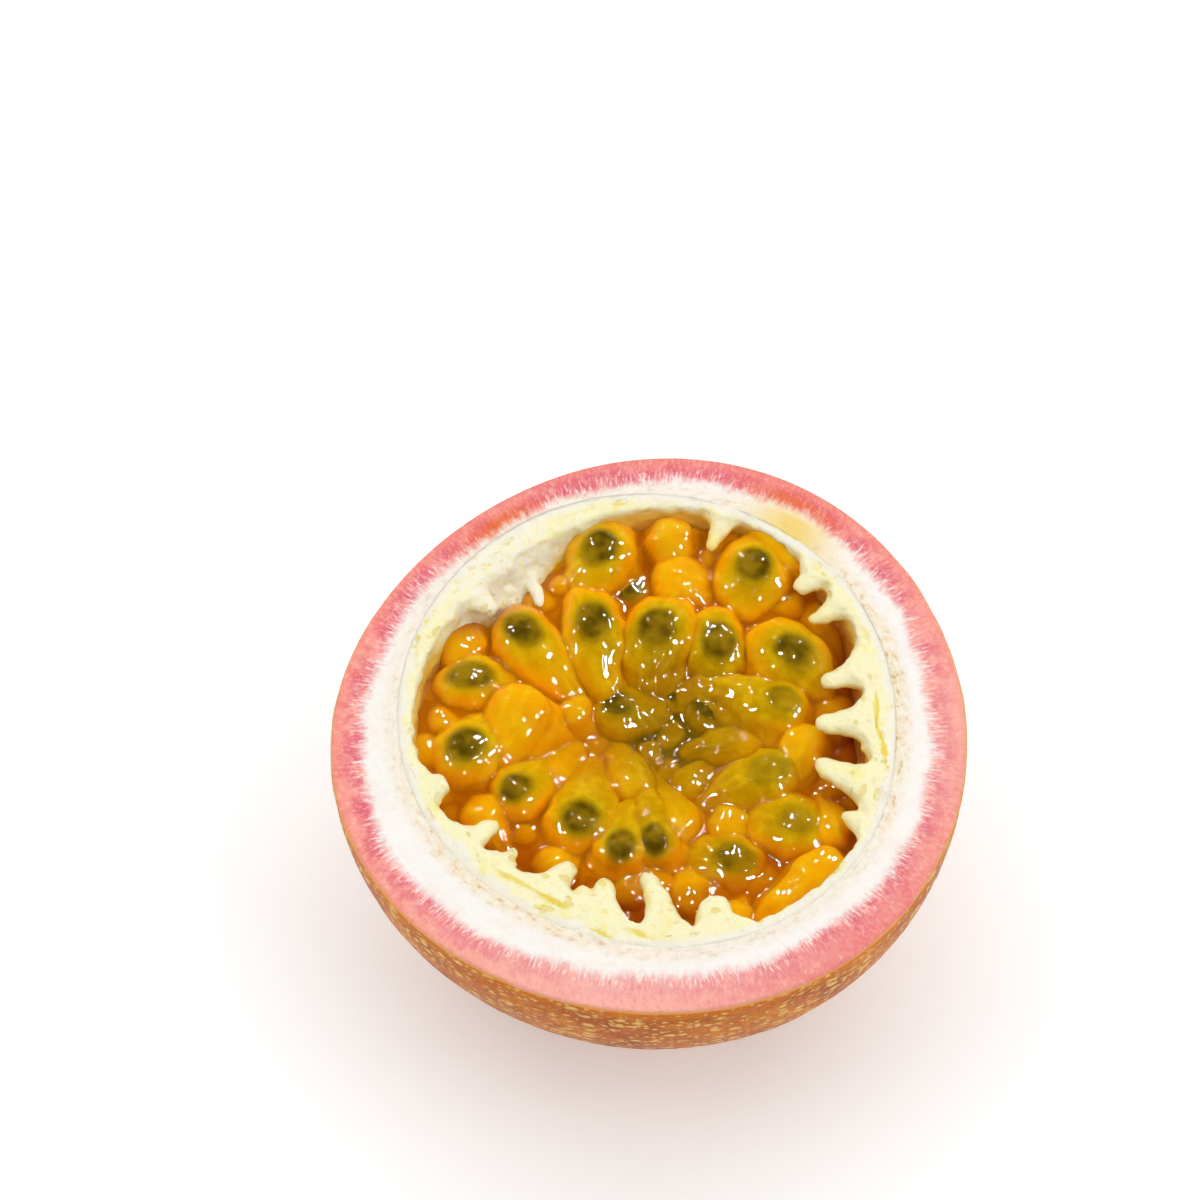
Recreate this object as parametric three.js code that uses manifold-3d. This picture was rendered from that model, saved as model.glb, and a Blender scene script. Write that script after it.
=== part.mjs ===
// Half of a passion fruit, cut straight across its middle and lying on its stem end, cut face up.
// It is made of the rind, the lining with the seed stalks that grow from it, the mass of juice sacs,
// and the seeds that show in the sacs. Units are millimetres and +Z is up.
import * as THREE from 'three';
import { mergeVertices } from 'three/addons/utils/BufferGeometryUtils.js';
import Module from 'manifold-3d';

const wasm = await Module();
wasm.setup();

// Driving sizes of the whole half
const RIM_RADIUS = 38;          // outside of the skin at the cut
const CUT_HEIGHT = 37.4;        // the cut face above the surface that the fruit lies on
const POLE_SINK = 0.5;          // what the small resting flat takes off the round end
const SHOULDER_POWER = 2.1;     // 2 is a round dome, more is a fuller shoulder
const GAP = 0.3;                // clearance between pieces that touch
const SEGMENTS = 48;            // divisions round the axis
const WALL_ROWS = 7;            // rows from the cut down to the pole on each inner surface

// The rim is not a true circle: it has a faint oval and three faint lobes
const OVAL_SWELL = 0.45;
const LOBE_SWELL = 0.65;
const LOBE_ANGLE = 74;

// Rind, from skin to the inside of the white pith
const RIND_INNER_RADIUS = 29.5;
const RIND_INNER_DEPTH = 28.4;  // below the cut face, at the pole
// The pith is thinner on one side and thicker behind two of the ridges
const PITH_CHANGES = [
  { angle: 105, spread: 66, amount: 3.6 },
  { angle: -118, spread: 34, amount: -1.3 },
  { angle: 2, spread: 26, amount: -0.9 },
];
const SCAR_PROFILE = [[0, 1.3], [1.2, 1.25], [2.0, 0.9], [2.6, 0.25], [3.1, 0]];
const DOME_ROWS = 11;
const SKIN_CHAMFER = 0.35;

// Cavity inside the lining, narrowed by the seed-bearing ridges and wider at one side
const CAVITY_RADIUS = 29;
const LINING_MIN = 0.9;
const LINING_FLOOR = 1.2;
const LINING_DROP = 0.1;        // the lining's edge below the cut face
const RIDGES = [
  { angle: 5, spread: 26, amount: 3.6 },
  { angle: -116, spread: 38, amount: 4.8 },
  { angle: 78, spread: 34, amount: -2.4 },
];
// The third ridge starts at the cut and slopes inwards below it, like a shelf
const SHELF = { angle: 129, spread: 20, amount: 4.2 };
const SHELF_DEPTH = 12;

// Seed stalks left on the ridges: angle, radius of the tip from the axis, width, depth of the middle line
const STALKS = [
  [49, 26.6, 1.9, 1.3], [39, 24.8, 1.6, 1.4], [20, 21.6, 1.9, 1.3], [5, 19.8, 2.1, 1.3],
  [-14, 20.0, 2.4, 1.4], [-25, 25.0, 1.6, 1.3], [75, 26.8, 1.4, 1.4], [140, 25.4, 1.8, 1.3],
  [124, 22.4, 2.0, 4.2], [-163, 25.4, 2.2, 1.3], [-145, 22.3, 1.7, 1.3], [-134, 22.6, 1.2, 1.2],
  [-119, 20.2, 2.2, 1.3], [-110, 22.0, 1.4, 1.4], [-103, 20.5, 2.0, 1.3], [-86, 18.9, 2.1, 1.3],
  [-73, 23.0, 2.9, 1.4],
];
const STALK_SIDES = 6;
const STALK_FLATNESS = 0.6;
const STALK_ROOT = 1.1;         // how far a stalk runs into the lining

// Juice sacs as they lie. Each row is the place of the round end (x, y), how far its top is below the
// cut face, the heading of the tail in degrees, length, width, the drop of the tail, and the length and
// width of the seed that shows in it, 0 where none does.
const SACS = [
  [-7.0, 25.8, 0.6, -112, 10.5, 8.2, 1.0, 5.4, 4.8],
  [-16.1, 14.5, 1.5, -44, 14.0, 7.4, 2.5, 5.6, 4.4],
  [-7.6, 16.0, 1.5, -78, 13.5, 7.2, 3.0, 5.4, 4.4],
  [0.2, 15.1, 1.5, -116, 9.6, 8.6, 0.8, 5.4, 4.8],
  [-3.2, 22.2, 4.6, 66, 7.5, 6.0, 0.5, 4.2, 3.6],
  [11.9, 23.7, 0.6, -107, 10.5, 8.6, 1.5, 5.0, 4.6],
  [2.8, 23.2, 2.4, -17, 9.5, 7.0, 1.5, 0, 0],
  [7.7, 14.0, 2.2, -84, 9.0, 7.0, 2.0, 5.2, 4.4],
  [16.8, 12.0, 1.0, -45, 11.0, 8.6, 1.2, 5.6, 4.6],
  [-22.3, 8.2, 2.0, 10, 10.5, 7.0, 2.0, 6.0, 4.0],
  [-16.2, 4.0, 0.8, -106, 11.5, 7.2, 1.5, 0, 0],
  [-22.4, -1.8, 1.4, 54, 12.5, 8.2, 1.5, 5.6, 4.8],
  [-9.7, 5.6, 5.0, 90, 5.5, 4.4, 0.5, 0, 0],
  [-16.2, -6.4, 3.0, 51, 14.0, 7.0, 3.0, 4.6, 3.8],
  [-8.4, -10.5, 2.5, 85, 16.0, 8.2, 4.5, 5.0, 4.8],
  [-3.6, -14.1, 2.6, 84, 11.5, 5.8, 2.5, 4.6, 3.6],
  [0.4, -12.8, 3.5, 98, 13.5, 5.8, 2.5, 4.6, 3.4],
  [15.6, 5.7, 2.0, 157, 15.0, 6.4, 2.0, 4.4, 3.4],
  [14.0, -3.0, 3.4, -157, 13.0, 7.0, 2.5, 5.6, 4.0],
  [17.2, -10.2, 3.0, 140, 12.0, 8.4, 2.0, 4.8, 4.2],
  [10.1, -14.6, 4.4, 163, 11.5, 7.4, 1.5, 5.4, 4.0],
  [20.6, -15.8, 2.4, -136, 14.0, 5.0, 0.5, 0, 0],
  [9.5, -23.2, 3.0, 61, 7.0, 5.0, 1.0, 0, 0],
  [6.7, 7.2, 6.5, -18, 8.5, 5.6, 0.5, 4.2, 3.6],
  [11.0, 2.2, 5.6, -179, 10.5, 5.6, 2.0, 0, 0],
  [-4.2, 6.6, 5.8, 23, 12.5, 7.4, 2.0, 4.4, 3.4],
  [0.4, 4.0, 10.5, 154, 9.0, 6.0, 0.5, 0, 0],
  [2.3, 10.2, 8.0, 41, 7.5, 6.0, 0.5, 4.2, 3.4],
  [-2.4, -3.6, 5.8, 108, 11.0, 5.6, 2.5, 0, 0],
  [2.7, -9.4, 5.0, 110, 12.5, 5.6, 3.0, 0, 0],
  [-11.4, -16.0, 4.0, 36, 6.5, 5.2, 0.5, 0, 0],
  [18.0, 1.4, 3.0, -98, 8.5, 5.0, 1.0, 0, 0],
  [5.2, -2.6, 7.6, 41, 7.0, 5.4, 0.5, 0, 0],
  [8.9, -9.2, 5.4, -13, 7.0, 5.2, 0.5, 0, 0],
  [1.4, 27.6, 2.6, -81, 6.5, 5.4, 2.0, 0, 0],
  [13.6, 26.8, 1.4, -38, 7.5, 5.0, 0.5, 0, 0],
  [20.0, 18.6, 4.6, -60, 9.0, 6.0, 0.5, 0, 0],
  [-12.3, -2.8, 5.0, 64, 11.0, 5.6, 3.0, 0, 0],
  [-24.0, 12.8, 2.2, 60, 8.0, 5.4, 1.0, 0, 0],
  [21.6, -11.0, 3.2, 108, 9.0, 5.2, 1.0, 0, 0],
  [21.6, 6.0, 4.6, -100, 8.5, 5.6, 0.5, 0, 0],
  [-20.0, -9.6, 3.6, -60, 8.5, 5.4, 0.5, 0, 0],
  [4.8, -19.6, 4.0, 90, 8.5, 5.6, 0.5, 0, 0],
];
const SAC_TAPER = 0.32;         // how much a sac narrows on its way to the tail
const SAC_FULLNESS = 0.8;       // under 1 keeps the tail blunt
const SAC_PLUMPNESS = 1.08;     // all sacs together, so that they press against each other
const SAC_FLATNESS = 0.7;       // thickness over width
const SAC_SIDES = 10;
const SAC_ROWS = 6;

// Juice that the sacs lie in: its surface follows the tops of the sacs round it, a little lower, and
// falls away where pockets are left open along the wall
const JUICE_DROP = 2.3;
const JUICE_SPREAD = 4.2;       // how far a sac draws the juice up or down round it
const JUICE_ROWS = 7;
const POCKETS = [
  { angle: -112, spread: 40, amount: 2.6 },
  { angle: 12, spread: 28, amount: 2.6 },
  { angle: 135, spread: 16, amount: 4.5 },
];
const POCKET_WIDTH = 2.6;
const SAC_RISE = 1.2;           // the most that a sac stands above the cut face

// Seeds: flat ovals lying just under the top of their sacs
const SEED_THICKNESS = 2.4;
const SEED_SINK = 1.1;          // a seed's middle below the top of its sac
const SEED_SIDES = 8;
const SEED_ROWS = 5;

const radians = THREE.MathUtils.degToRad;

// A smooth hump round one angle, 1 at its top, for angles in radians and a spread in degrees
function hump(angle, { angle: middle, spread }) {
  const turn = Math.atan2(Math.sin(angle - radians(middle)), Math.cos(angle - radians(middle)));
  return Math.exp(-((turn / radians(spread)) ** 2));
}

function rimSwell(angle) {
  return OVAL_SWELL * Math.sin(2 * angle) + LOBE_SWELL * Math.cos(3 * (angle - radians(LOBE_ANGLE)));
}

function rindInnerRadius(angle) {
  return PITH_CHANGES.reduce((sum, change) => sum + change.amount * hump(angle, change), RIND_INNER_RADIUS);
}

function cavityRadius(angle) {
  const narrowed = RIDGES.reduce((sum, ridge) => sum - ridge.amount * hump(angle, ridge), CAVITY_RADIUS);
  return Math.min(narrowed, rindInnerRadius(angle) - GAP - LINING_MIN);
}

// A bowl's wall from its edge at the cut down to the axis, as radius and height
function bowlWall(radius, depth) {
  return Array.from({ length: WALL_ROWS + 1 }, (_, row) => {
    const fall = (row / WALL_ROWS) * (Math.PI / 2);
    const isPole = row === WALL_ROWS;
    return new THREE.Vector2(isPole ? 0 : radius * Math.cos(fall), CUT_HEIGHT - depth * Math.sin(fall));
  });
}

// A body turned round Z whose profile may change with the angle
function turned(profileAt) {
  const geometry = new THREE.LatheGeometry(profileAt(0), SEGMENTS);
  const rows = profileAt(0).length;
  const position = geometry.getAttribute('position');
  for (let k = 0; k < position.count; k++) {
    const angle = (2 * Math.PI * Math.floor(k / rows)) / SEGMENTS;
    const point = profileAt(angle)[k % rows];
    position.setXYZ(k, point.x * Math.cos(angle), point.x * Math.sin(angle), point.y);
  }
  return geometry;
}

function toSolid(geometry) {
  const bare = new THREE.BufferGeometry().setAttribute('position', geometry.getAttribute('position'));
  bare.setIndex(geometry.index);
  const merged = mergeVertices(bare);
  const made = new wasm.Manifold(new wasm.Mesh({
    numProp: 3,
    vertProperties: new Float32Array(merged.getAttribute('position').array),
    triVerts: new Uint32Array(merged.index.array),
  }));
  return made;
}

function toGeometry(solid) {
  const mesh = solid.getMesh();
  const points = new Float32Array(mesh.numVert * 3);
  for (let i = 0; i < mesh.numVert; i++) {
    points.set(mesh.vertProperties.subarray(i * mesh.numProp, i * mesh.numProp + 3), i * 3);
  }
  const geometry = new THREE.BufferGeometry();
  geometry.setAttribute('position', new THREE.BufferAttribute(points, 3));
  geometry.setIndex(new THREE.BufferAttribute(mesh.triVerts, 1));
  geometry.computeVertexNormals();
  return geometry;
}

// The largest body of a solid: cutting can leave loose scraps
function largestBody(solid) {
  return solid.decompose().sort((a, b) => b.volume() - a.volume())[0];
}

function rindProfile(angle) {
  const height = CUT_HEIGHT + POLE_SINK;
  const power = 2 / SHOULDER_POWER;
  const flatStart = Math.acos((CUT_HEIGHT / height) ** (1 / power));
  const scar = SCAR_PROFILE.map(([r, z]) => new THREE.Vector2(r, z));
  const dome = Array.from({ length: DOME_ROWS + 1 }, (_, row) => {
    const rise = flatStart + (Math.PI / 2 - flatStart) * (row / DOME_ROWS);
    const round = RIM_RADIUS * Math.sin(rise) ** power;
    const swell = rimSwell(angle) * Math.sin(rise) ** 4;
    return new THREE.Vector2(round + swell, CUT_HEIGHT - height * Math.max(Math.cos(rise), 0) ** power);
  });
  const rim = dome.pop();
  const chamfer = [
    new THREE.Vector2(rim.x, CUT_HEIGHT - SKIN_CHAMFER),
    new THREE.Vector2(rim.x - SKIN_CHAMFER, CUT_HEIGHT),
  ];
  return [...scar, ...dome, ...chamfer, ...bowlWall(rindInnerRadius(angle), RIND_INNER_DEPTH)];
}

// Everything inside the lining's outer side, which lies against the pith
function liningOuter(angle) {
  const wall = bowlWall(rindInnerRadius(angle) - GAP, RIND_INNER_DEPTH - GAP).reverse();
  return wall.map((point) => new THREE.Vector2(point.x, Math.min(point.y, CUT_HEIGHT - LINING_DROP)));
}

function cavityWall(angle, shrink) {
  const floor = RIND_INNER_DEPTH - GAP - LINING_FLOOR;
  const radius = cavityRadius(angle) - shrink;
  const shelf = SHELF.amount * hump(angle, SHELF);
  return bowlWall(radius, floor - shrink).map((point) => {
    const sunk = Math.min(1, (CUT_HEIGHT - point.y) / SHELF_DEPTH);
    return new THREE.Vector2(point.x - (shelf * sunk * point.x) / radius, point.y);
  });
}

function liningProfile(angle) {
  const inside = cavityWall(angle, 0).map(
    (point) => new THREE.Vector2(point.x, Math.min(point.y, CUT_HEIGHT - LINING_DROP)));
  return [...liningOuter(angle), ...inside];
}

// A stalk: a flattened finger with a wide root and hollowed flanks, pointing at the axis
function stalk([angle, tipRadius, width, depth], extra = 0) {
  const turn = radians(angle);
  const wall = cavityRadius(turn);
  const length = wall - tipRadius;
  const profile = [
    [0, -STALK_ROOT], [width * 1.6, -STALK_ROOT], [width * 1.15, 0.2], [width * 0.7, length * 0.35],
    [width * 0.55, length * 0.7], [width * 0.36, length * 0.94], [0, length],
  ].map(([radius, along], row, all) => {
    const grown = row === 0 || row === all.length - 1 ? 0 : extra;
    const stretch = row === 0 ? -extra : row === all.length - 1 ? extra : 0;
    return new THREE.Vector2(radius + grown, along + stretch);
  });
  const geometry = new THREE.LatheGeometry(profile, STALK_SIDES);
  geometry.rotateZ(Math.PI / 2);
  geometry.scale(1, 1, STALK_FLATNESS + (extra ? 0.2 : 0));
  geometry.translate(wall, 0, CUT_HEIGHT - depth);
  geometry.rotateZ(turn);
  return geometry;
}

function liningSolid() {
  const shell = toSolid(turned(liningProfile));
  const inside = toSolid(turned((angle) => [...liningOuter(angle), new THREE.Vector2(0, CUT_HEIGHT - LINING_DROP)]));
  const stalks = wasm.Manifold.union(STALKS.map((row) => toSolid(stalk(row))));
  return largestBody(shell.add(stalks).intersect(inside));
}

// Where a sac or its seed lies: +X runs from the round end to the tail
function sacPlace([x, y, depth, heading, length, width, drop]) {
  const pitch = Math.asin(Math.min(0.9, drop / (length - width / 2)));
  const turn = new THREE.Quaternion()
    .setFromEuler(new THREE.Euler(0, pitch, radians(heading), 'ZYX'));
  const thickness = width * SAC_FLATNESS * SAC_PLUMPNESS;
  const roundEnd = new THREE.Vector3(x, y, CUT_HEIGHT - depth - thickness / 2);
  return { turn, thickness, roundEnd };
}

function sac(row) {
  const [, , , , length, width] = row;
  const { turn, thickness, roundEnd } = sacPlace(row);
  const geometry = new THREE.SphereGeometry(1, SAC_SIDES, SAC_ROWS);
  geometry.rotateZ(Math.PI / 2);
  const position = geometry.getAttribute('position');
  for (let i = 0; i < position.count; i++) {
    const along = position.getX(i);
    const narrow = 1 - SAC_TAPER * THREE.MathUtils.smoothstep(along, 0, 1);
    const reach = along > 0 ? along ** SAC_FULLNESS * (length - width / 2) : (along * width) / 2;
    position.setXYZ(
      i, reach, (position.getY(i) * narrow * width * SAC_PLUMPNESS) / 2,
      (position.getZ(i) * narrow * thickness) / 2);
  }
  geometry.applyQuaternion(turn);
  return geometry.translate(roundEnd.x, roundEnd.y, roundEnd.z);
}

function seed(row, extra = 0) {
  const [, , , , , , , seedLength, seedWidth] = row;
  const { turn, thickness, roundEnd } = sacPlace(row);
  const geometry = new THREE.SphereGeometry(1, SEED_SIDES, SEED_ROWS);
  geometry.rotateX(Math.PI / 2);
  geometry.scale(seedLength / 2 + extra, seedWidth / 2 + extra, SEED_THICKNESS / 2 + extra);
  geometry.translate(0, 0, thickness / 2 - SEED_SINK);
  geometry.applyQuaternion(turn);
  return geometry.translate(roundEnd.x, roundEnd.y, roundEnd.z);
}

const hasSeed = (row) => row[7] > 0;

// Depth of the juice below the cut at one place, drawn from the round end and the tail of every sac
function juiceDepth(x, y) {
  let total = 0;
  let depths = 0;
  for (const [sacX, sacY, top, heading, length, width, drop] of SACS) {
    const tail = length - width * 0.8;
    for (const [share, fall] of [[0, 0], [1, drop]]) {
      const dx = x - sacX - share * tail * Math.cos(radians(heading));
      const dy = y - sacY - share * tail * Math.sin(radians(heading));
      const weight = Math.exp(-(dx * dx + dy * dy) / (2 * JUICE_SPREAD ** 2));
      total += weight;
      depths += weight * (top + fall);
    }
  }
  const angle = Math.atan2(y, x);
  const fromWall = Math.max(0, cavityRadius(angle) - Math.hypot(x, y));
  const open = POCKETS.reduce((sum, pocket) => sum + pocket.amount * hump(angle, pocket), 0);
  return depths / total + JUICE_DROP + open * Math.exp(-fromWall / POCKET_WIDTH);
}

function juiceProfile(angle) {
  const wall = cavityWall(angle, GAP).reverse();
  const edge = cavityRadius(angle) - GAP;
  const below = wall.filter((point) => point.y < CUT_HEIGHT - 11);
  const dish = Array.from({ length: JUICE_ROWS + 1 }, (_, row) => {
    const radius = edge * 0.97 * (1 - row / JUICE_ROWS);
    return new THREE.Vector2(radius, CUT_HEIGHT - juiceDepth(radius * Math.cos(angle), radius * Math.sin(angle)));
  });
  return [...below, ...dish];
}

function pulpSolid() {
  const juice = toSolid(turned(juiceProfile));
  const sacs = SACS.map((row) => toSolid(sac(row)));
  const room = toSolid(turned((angle) => {
    const wall = cavityWall(angle, GAP).reverse();
    const top = CUT_HEIGHT + SAC_RISE;
    const edge = wall[wall.length - 1];
    return [...wall, new THREE.Vector2(edge.x, top), new THREE.Vector2(0, top)];
  }));
  const stalkRoom = STALKS.map((row) => toSolid(stalk(row, GAP)));
  const sockets = SACS.filter(hasSeed).map((row) => toSolid(seed(row, GAP)));
  const mass = wasm.Manifold.union([juice, ...sacs]).intersect(room);
  return largestBody(mass.subtract(wasm.Manifold.union([...stalkRoom, ...sockets])));
}

const rindMaterial = new THREE.MeshStandardMaterial({ color: 0xb4622a, roughness: 0.42, metalness: 0 });
const liningMaterial = new THREE.MeshStandardMaterial({ color: 0xf6e7ae, roughness: 0.5, metalness: 0 });
const pulpMaterial = new THREE.MeshStandardMaterial({ color: 0xe09a12, roughness: 0.12, metalness: 0 });
const seedMaterial = new THREE.MeshStandardMaterial({ color: 0x3f3f16, roughness: 0.35, metalness: 0 });

function piece(name, geometry, material) {
  const mesh = new THREE.Mesh(geometry, material);
  mesh.name = name;
  return mesh;
}

const fruit = new THREE.Group();
fruit.add(
  piece('rind', toGeometry(toSolid(turned(rindProfile))), rindMaterial),
  piece('lining', toGeometry(liningSolid()), liningMaterial),
  piece('pulp', toGeometry(pulpSolid()), pulpMaterial),
);
SACS.filter(hasSeed).forEach((row, i) => {
  fruit.add(piece(`seed_${String(i + 1).padStart(2, '0')}`, toGeometry(toSolid(seed(row))), seedMaterial));
});

// The origin is on the resting plane, under the middle of the rim
const extent = new THREE.Box3().setFromObject(fruit);
fruit.position.set(-(extent.min.x + extent.max.x) / 2, -(extent.min.y + extent.max.y) / 2, 0);

export default fruit;
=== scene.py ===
# %% [markdown]
# # Half a passion fruit
# The fruit is cut straight across and lies on its stem end with the cut face up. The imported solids
# come first: they say where the rind, the lining, the pulp and each seed are, and every finer piece
# below is made to fit them.

# %% Load the frame
import math
import bmesh
import bpy
import numpy as np
from mathutils import Matrix, Vector, noise


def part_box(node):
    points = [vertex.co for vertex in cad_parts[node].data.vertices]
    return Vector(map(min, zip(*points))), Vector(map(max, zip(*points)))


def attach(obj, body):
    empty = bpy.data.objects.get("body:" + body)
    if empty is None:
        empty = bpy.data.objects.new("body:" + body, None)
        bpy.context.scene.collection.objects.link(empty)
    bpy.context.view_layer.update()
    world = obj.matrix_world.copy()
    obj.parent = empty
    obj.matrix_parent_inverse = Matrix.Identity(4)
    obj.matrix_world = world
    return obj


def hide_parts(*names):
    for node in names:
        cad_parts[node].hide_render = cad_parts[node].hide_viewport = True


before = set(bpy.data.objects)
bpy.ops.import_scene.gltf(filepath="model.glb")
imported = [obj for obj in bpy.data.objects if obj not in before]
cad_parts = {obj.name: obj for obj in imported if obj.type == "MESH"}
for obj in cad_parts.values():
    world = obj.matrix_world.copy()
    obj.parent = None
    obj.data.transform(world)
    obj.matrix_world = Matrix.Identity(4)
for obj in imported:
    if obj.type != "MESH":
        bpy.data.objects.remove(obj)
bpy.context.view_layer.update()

rim_low, rim_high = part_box("rind")
CUT = rim_high.z * 1000
print("rind", [round(v * 1000, 1) for v in (*rim_low, *rim_high)], "mm, cut face at", round(CUT, 2))

# %% [markdown]
# ## Working in millimetres
# A fruit is small, so the pieces are modelled in millimetres and made a thousand times smaller at the
# end. `placed` is the one place where a mesh becomes an object: it scales the mesh, shades it smooth,
# gives it its finish and leaves the object at the origin, as the solids are. The other helpers read all
# points of a mesh at once, and paint a number or a vector on each of them.

# %% Turning a mesh into a piece
MM = 0.001


def placed(name, mesh, material, slot, *nodes):
    mesh.transform(Matrix.Scale(MM, 4))
    mesh.polygons.foreach_set("use_smooth", [True] * len(mesh.polygons))
    mesh.materials.append(material)
    piece = bpy.data.objects.new(name, mesh)
    bpy.context.scene.collection.objects.link(piece)
    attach(piece, "root")
    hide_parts(*nodes)
    print(name, len(mesh.vertices), "points,", len(mesh.polygons), "faces")


def points_of(mesh):
    flat = np.empty(len(mesh.vertices) * 3, np.float32)
    mesh.vertices.foreach_get("co", flat)
    return flat.reshape(-1, 3).astype(float)


def paint(mesh, name, values):
    layer = mesh.attributes.new(name, "FLOAT", "POINT")
    layer.data.foreach_set("value", np.asarray(values, np.float32))


def paint_vector(mesh, name, x, y, z):
    layer = mesh.attributes.new(name, "FLOAT_VECTOR", "POINT")
    layer.data.foreach_set("vector", (np.stack((x, y, z), 1) * MM).astype(np.float32).ravel())


# %% [markdown]
# ## The outline of the cut
# No fruit is a true circle. The rim has a faint oval and three faint lobes, because three seed-bearing
# ridges run up the inside. The same ridges narrow the hollow that holds the pulp. The outlines are plain
# formulas of the angle, so rind, lining and pulp can share them and always fit. Each is a radius with a
# few smooth humps on it, given as the angle of its middle, its spread in degrees and its height. At the
# upper left the lining also swells inwards below the cut, as a shelf.

# %% Outlines shared by the pieces
RIM, SHOULDER, POLE_SINK = 38.0, 2.1, 0.5
OVAL, LOBES, LOBE_AT = 0.45, 0.65, 74
PITH, PITH_DEEP = 29.5, 28.4
WIDEST_HOLLOW, LEAST_LINING = 29.0, 1.2
RIDGES = ((5, 26, 3.6), (-116, 38, 4.8), (78, 34, -2.4))
PITH_CHANGES = ((105, 66, 3.6), (-118, 34, -1.3), (2, 26, -0.9))
SHELF_AT, SHELF_SPREAD, SHELF_OUT, SHELF_FULL = 129, 20, 4.2, 6.0
FLOOR = 26.9


def hump(angle, middle, spread):
    turn = np.arctan2(np.sin(angle - math.radians(middle)), np.cos(angle - math.radians(middle)))
    return np.exp(-((turn / math.radians(spread)) ** 2))


def rim_swell(angle):
    return OVAL * np.sin(2 * angle) + LOBES * np.cos(3 * (angle - math.radians(LOBE_AT)))


def pith_radius(angle):
    return PITH + sum(amount * hump(angle, middle, spread) for middle, spread, amount in PITH_CHANGES)


def hollow_radius(angle):
    radius = WIDEST_HOLLOW - sum(amount * hump(angle, middle, spread) for middle, spread, amount in RIDGES)
    return np.minimum(radius, pith_radius(angle) - LEAST_LINING)


def shelf(angle, deep):
    return SHELF_OUT * hump(angle, SHELF_AT, SHELF_SPREAD) * np.clip(deep / SHELF_FULL, 0, 1)


ring = np.radians(np.arange(0, 360, 45))
print("hollow radius every 45 degrees:", np.round(hollow_radius(ring), 1))

# %% [markdown]
# ## Camera
# The photograph looks down on the cut face at 61 degrees from a little over half a metre, through a
# long lens. The long lens keeps the oval of the cut nearly free of perspective. The camera is aimed a
# little above and left of the fruit, which puts the fruit low and right of the middle of the picture.
# Places in the picture are counted in pixels of a frame of 1200 by 1200. The lobes push the outline a
# little off centre, so `OFFSET` moves every piece until the fruit's box is centred, as the solids are.

# %% Place the camera
LOOK_DOWN, DISTANCE, FOCAL, SENSOR = 61, 0.54, 4525, 36
FRAME, FACE_RIGHT, FACE_DOWN = 1200, 656, 727
turn = np.radians(np.arange(0, 360, 0.5))
rim_x, rim_y = (RIM + rim_swell(turn)) * np.cos(turn), (RIM + rim_swell(turn)) * np.sin(turn)
OFFSET = Vector((-(rim_x.min() + rim_x.max()) / 2, -(rim_y.min() + rim_y.max()) / 2, 0))
face = (OFFSET + Vector((0, 0, CUT))) * MM
look = math.radians(LOOK_DOWN)
right, above = Vector((1, 0, 0)), Vector((0, math.sin(look), math.cos(look)))
back = Vector((0, -math.cos(look), math.sin(look)))

camera_data = bpy.data.cameras.new("camera")
camera_data.sensor_width = SENSOR
camera_data.lens = FOCAL * SENSOR / FRAME
camera = bpy.data.objects.new("camera", camera_data)
bpy.context.scene.collection.objects.link(camera)
camera.location = face + back * DISTANCE
up_left = above * (FACE_DOWN - FRAME / 2) - right * (FACE_RIGHT - FRAME / 2)
aim = face + up_left * DISTANCE / FOCAL
camera.rotation_euler = (aim - camera.location).to_track_quat("-Z", "Y").to_euler()
bpy.context.scene.camera = camera
print("offset", [round(v, 2) for v in OFFSET], "lens", round(camera_data.lens, 1))

# %% [markdown]
# ## Node helpers
# Materials are trees of nodes. A few short helpers keep the trees readable: each adds one kind of node,
# wires what it is given and hands back the output that is needed next. `between` is used most: it turns
# a range of one value smoothly into a range of another, which makes soft-edged masks.

# %% Short words for nodes
def wire(tree, socket, value):
    if isinstance(value, bpy.types.NodeSocket):
        tree.links.new(value, socket)
    else:
        socket.default_value = value


def maths(tree, operation, a, b):
    node = tree.nodes.new("ShaderNodeMath")
    node.operation = operation
    wire(tree, node.inputs[0], a)
    wire(tree, node.inputs[1], b)
    return node.outputs[0]


def between(tree, value, low, high, out_low=0.0, out_high=1.0):
    node = tree.nodes.new("ShaderNodeMapRange")
    node.interpolation_type = "SMOOTHSTEP"
    for socket, number in zip(node.inputs, (value, low, high, out_low, out_high)):
        wire(tree, socket, number)
    return node.outputs[0]


def mixed(tree, amount, first, second):
    node = tree.nodes.new("ShaderNodeMix")
    node.data_type = "RGBA"
    wire(tree, node.inputs[0], amount)
    for socket, colour in ((node.inputs[6], first), (node.inputs[7], second)):
        wire(tree, socket, (*colour, 1) if isinstance(colour, tuple) else colour)
    return node.outputs[2]


def ramp(tree, value, *stops):
    node = tree.nodes.new("ShaderNodeValToRGB")
    while len(node.color_ramp.elements) < len(stops):
        node.color_ramp.elements.new(0.5)
    for element, (place, colour) in zip(node.color_ramp.elements, stops):
        element.position, element.color = place, (*colour, 1)
    wire(tree, node.inputs[0], value)
    return node.outputs[0]


def painted(tree, name, output="Fac"):
    node = tree.nodes.new("ShaderNodeAttribute")
    node.attribute_name = name
    return node.outputs[output]


def here(tree):
    return tree.nodes.new("ShaderNodeTexCoord").outputs["Object"]


def bumped(tree, height, depth_mm, strength):
    node = tree.nodes.new("ShaderNodeBump")
    wire(tree, node.inputs["Height"], height)
    wire(tree, node.inputs["Distance"], depth_mm * MM)
    wire(tree, node.inputs["Strength"], strength)
    return node.outputs[0]


def finish_called(name):
    material = bpy.data.materials.new(name)
    material.use_nodes = True
    tree = material.node_tree
    return material, tree, tree.nodes["Principled BSDF"]


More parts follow.
